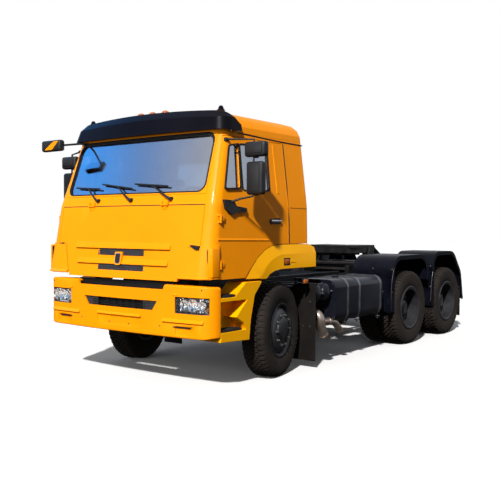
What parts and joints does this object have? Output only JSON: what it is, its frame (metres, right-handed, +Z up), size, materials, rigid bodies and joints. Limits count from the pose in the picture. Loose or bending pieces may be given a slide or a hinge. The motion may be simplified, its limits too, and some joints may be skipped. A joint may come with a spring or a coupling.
{
  "type": "three-axle semi truck tractor unit, cab over engine",
  "caption": "Cab-over tractor unit with tilting cab, opening doors and front panel, steered front axle, twin-tyred driven bogie and tilting fifth wheel.",
  "frame": {"origin": "middle of the outline's box, on the ground", "axes": "+X forward, +Y to the driver's left, +Z up"},
  "size_m": [6.508, 3.122, 2.9],
  "materials": {
    "yellow_paint": "gloss enamel",
    "chassis_paint": "satin black",
    "tank_paint": "gloss black",
    "cast_metal": "painted casting",
    "exhaust_steel": "heat-dulled steel",
    "rim_paint": "satin dark grey",
    "tyre_rubber": "worn rubber",
    "flap_rubber": "matt",
    "cab_trim": "grained",
    "seat_cloth": "woven",
    "window_glass": "clear",
    "lamp_glass": "clear",
    "lamp_red": "gloss"
  },
  "bodies": {
    "chassis": {"frame_rail_left": "chassis_paint", "frame_rail_right": "chassis_paint", "crossmembers": "chassis_paint", "front_brackets": "chassis_paint", "bumper": "yellow_paint", "headlamps": "lamp_glass", "step_fairings": "yellow_paint", "engine_block": "cast_metal", "front_axle": "chassis_paint", "bogie": "chassis_paint", "driveshafts": "chassis_paint", "fuel_tank": "tank_paint", "second_tank": "tank_paint", "battery_box": "chassis_paint", "air_tanks": "chassis_paint", "silencer": "exhaust_steel", "mudguards_left": "chassis_paint", "mudguards_right": "chassis_paint", "mud_flaps": "flap_rubber", "tail_lamps": "lamp_red", "fifth_wheel_base": "chassis_paint"},
    "cab": {"cab_front": "yellow_paint", "cab_sides": "yellow_paint", "cab_rear": "yellow_paint", "cab_roof": "yellow_paint", "cab_floor": "cab_trim", "cab_wings": "yellow_paint", "windscreen": "window_glass", "rear_glass": "window_glass", "sun_visor": "cab_trim", "seats": "seat_cloth", "dashboard": "cab_trim", "wipers": "cab_trim", "front_mirror": "cab_trim"},
    "front_lid": {"front_lid": "yellow_paint"},
    "fifth_wheel": {"fifth_wheel_plate": "chassis_paint"},
    "tie_rod": {"tie_rod": "chassis_paint"},
    "door_left": {"door_left": "yellow_paint", "door_glass_left": "window_glass", "door_mirror_left": "cab_trim"},
    "knuckle_left": {"knuckle_left": "chassis_paint"},
    "front_wheel_left": {"front_tyre_left": "tyre_rubber", "front_wheel_left": "rim_paint"},
    "mid_wheels_left": {"mid_tyres_left": "tyre_rubber", "mid_wheels_left": "rim_paint"},
    "rear_wheels_left": {"rear_tyres_left": "tyre_rubber", "rear_wheels_left": "rim_paint"},
    "door_right": {"door_right": "yellow_paint", "door_glass_right": "window_glass", "door_mirror_right": "cab_trim"},
    "knuckle_right": {"knuckle_right": "chassis_paint"},
    "front_wheel_right": {"front_tyre_right": "tyre_rubber", "front_wheel_right": "rim_paint"},
    "mid_wheels_right": {"mid_tyres_right": "tyre_rubber", "mid_wheels_right": "rim_paint"},
    "rear_wheels_right": {"rear_tyres_right": "tyre_rubber", "rear_wheels_right": "rim_paint"}
  },
  "joints": [
    {"name": "cab_tilt", "type": "hinge", "parent": "chassis", "child": "cab", "pos_m": [3.114, 0, 1], "axis": [0, 1, 0], "range_deg": [0, 42]},
    {"name": "lid_lift", "type": "hinge", "parent": "cab", "child": "front_lid", "pos_m": [3.132, 0, 1.9], "axis": [0, -1, 0], "range_deg": [0, 85]},
    {"name": "fifth_wheel_tilt", "type": "hinge", "parent": "chassis", "child": "fifth_wheel", "pos_m": [-1.476, 0, 1.33], "axis": [0, 1, 0], "range_deg": [-12, 12]},
    {"name": "door_left_swing", "type": "hinge", "parent": "cab", "child": "door_left", "pos_m": [3.031, 1.234, 1.5], "axis": [0, 0, -1], "range_deg": [0, 70]},
    {"name": "steer_left", "type": "hinge", "parent": "chassis", "child": "knuckle_left", "pos_m": [1.914, 0.86, 0.525], "axis": [0, 0, 1], "range_deg": [-47, 23]},
    {"name": "front_wheel_left_spin", "type": "hinge", "parent": "knuckle_left", "child": "front_wheel_left", "pos_m": [1.87969, 1.02139, 0.525], "axis": [-0.2079, 0.9781, 0], "continuous": true},
    {"name": "mid_wheels_left_spin", "type": "hinge", "parent": "chassis", "child": "mid_wheels_left", "pos_m": [-1.276, 0.945, 0.525], "axis": [0, 1, 0], "continuous": true},
    {"name": "rear_wheels_left_spin", "type": "hinge", "parent": "chassis", "child": "rear_wheels_left", "pos_m": [-2.596, 0.945, 0.525], "axis": [0, 1, 0], "continuous": true},
    {"name": "door_right_swing", "type": "hinge", "parent": "cab", "child": "door_right", "pos_m": [3.031, -1.234, 1.5], "axis": [0, 0, 1], "range_deg": [0, 70]},
    {"name": "steer_right", "type": "hinge", "parent": "chassis", "child": "knuckle_right", "pos_m": [1.914, -0.86, 0.525], "axis": [0, 0, 1], "range_deg": [-47, 23]},
    {"name": "front_wheel_right_spin", "type": "hinge", "parent": "knuckle_right", "child": "front_wheel_right", "pos_m": [1.94831, -1.02139, 0.525], "axis": [-0.2079, 0.9781, 0], "continuous": true},
    {"name": "mid_wheels_right_spin", "type": "hinge", "parent": "chassis", "child": "mid_wheels_right", "pos_m": [-1.276, -0.945, 0.525], "axis": [0, 1, 0], "continuous": true},
    {"name": "rear_wheels_right_spin", "type": "hinge", "parent": "chassis", "child": "rear_wheels_right", "pos_m": [-2.596, -0.945, 0.525], "axis": [0, 1, 0], "continuous": true},
    {"name": "tie_rod_swing", "type": "hinge", "parent": "knuckle_left", "child": "tie_rod", "pos_m": [1.72815, 0.8205, 0.395], "axis": [0, 0, 1], "range_deg": [-23, 47]}
  ],
  "couplings": [
    {"joint": "steer_right", "follows": "steer_left", "ratio": 1},
    {"joint": "tie_rod_swing", "follows": "steer_left", "ratio": -1}
  ]
}
